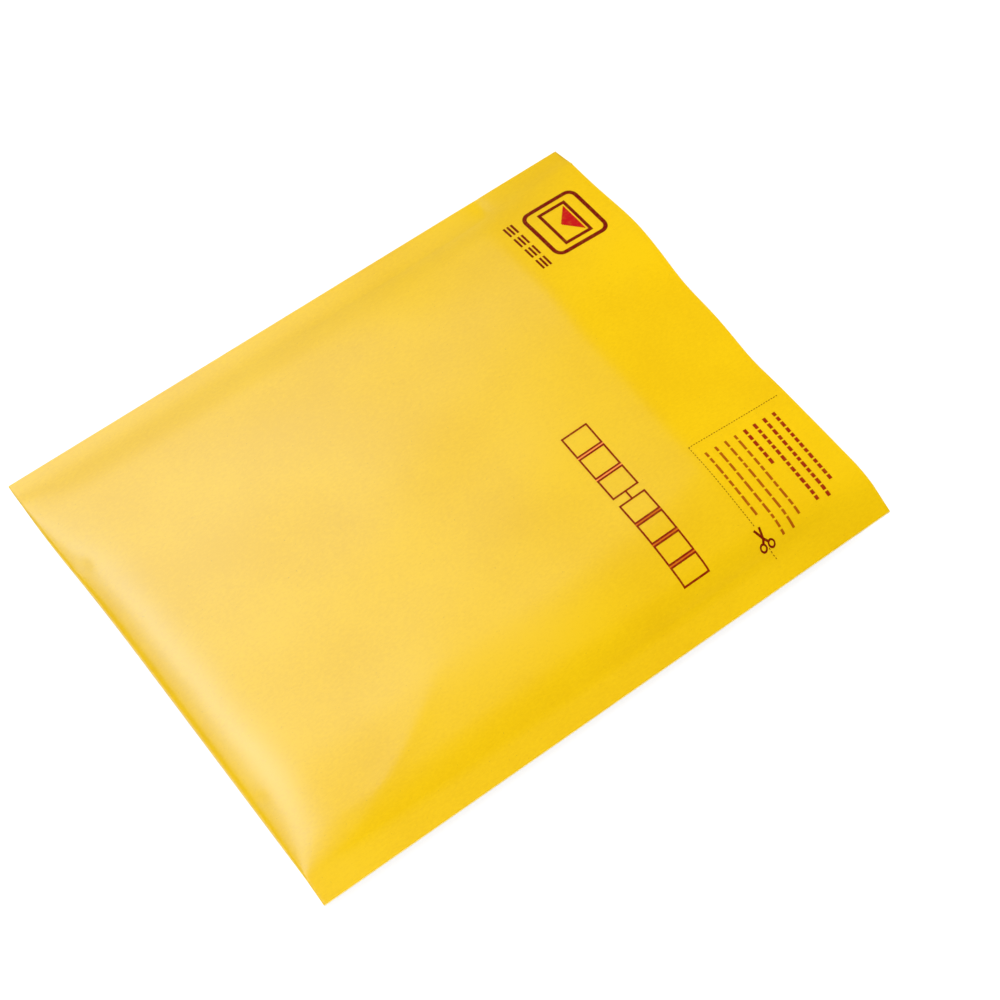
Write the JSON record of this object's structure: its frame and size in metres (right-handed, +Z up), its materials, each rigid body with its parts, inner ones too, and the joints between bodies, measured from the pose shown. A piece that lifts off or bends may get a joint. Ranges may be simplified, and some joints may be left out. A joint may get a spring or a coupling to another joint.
{
  "type": "padded envelope",
  "caption": "Flat padded envelope of yellow kraft paper with a bubble film lining, folded at the bottom, pressed along both sides and open at the mouth to take a flat item.",
  "frame": {"origin": "on the table under the middle of the envelope, which lies on its back panel", "axes": "+X across the envelope, +Y out of the mouth, +Z up from the table through the front panel"},
  "size_m": [0.21, 0.263, 0.019],
  "materials": {
    "kraft_paper": "smooth calendered yellow kraft with a soft sheen",
    "bubble_film": "clear glossy polyethylene film"
  },
  "bodies": {
    "root": {"paper_cover": "kraft_paper", "bubble_lining": "bubble_film"}
  },
  "joints": []
}
